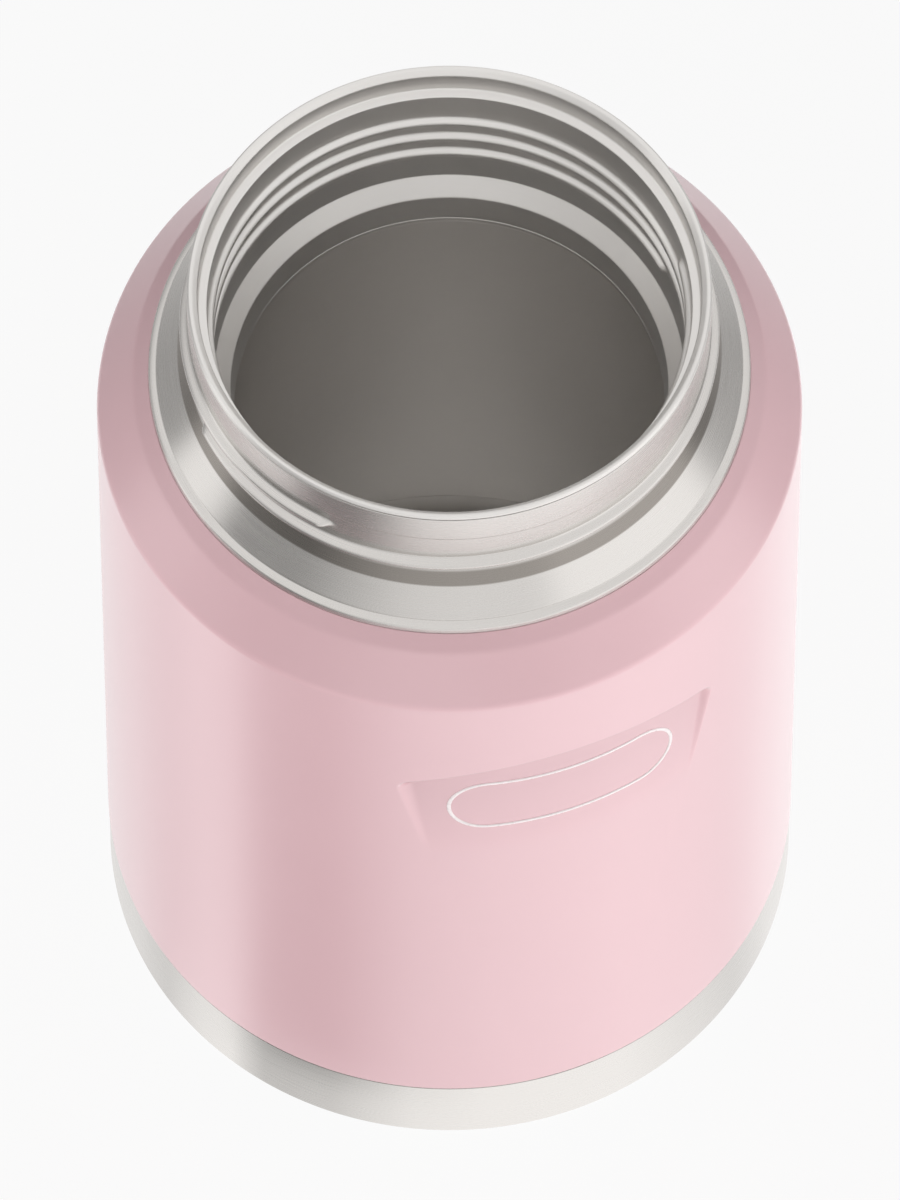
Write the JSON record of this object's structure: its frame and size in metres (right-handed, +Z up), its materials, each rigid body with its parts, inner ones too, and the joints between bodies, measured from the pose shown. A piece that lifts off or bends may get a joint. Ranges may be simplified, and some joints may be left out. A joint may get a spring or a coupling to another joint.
{
  "type": "insulated food jar",
  "caption": "Wide-mouth double-walled vacuum food jar, open, with a pink body, a sloping shoulder and a bare steel neck threaded inside and out.",
  "frame": {"origin": "centre of the foot, on the jar's axis, on the surface it stands on", "axes": "+Z up along the jar's axis, towards the mouth; -Y is the front, and the badge recess is centred 20.5 degrees from the front towards +X"},
  "size_m": [0.1, 0.1, 0.1582],
  "materials": {
    "paint": "satin powder coat",
    "steel": "satin",
    "copper": "foil",
    "getter": "sintered",
    "solder_glass": "gloss"
  },
  "bodies": {
    "root": {"body_shell": "paint", "neck_collar": "steel", "base_cup": "steel", "base_disc": "steel", "seal_bead": "solder_glass", "liner_neck": "steel", "liner_body": "steel", "liner_bottom": "steel", "copper_shield": "copper", "getter_pellet": "getter", "getter_holder": "steel"}
  },
  "joints": []
}
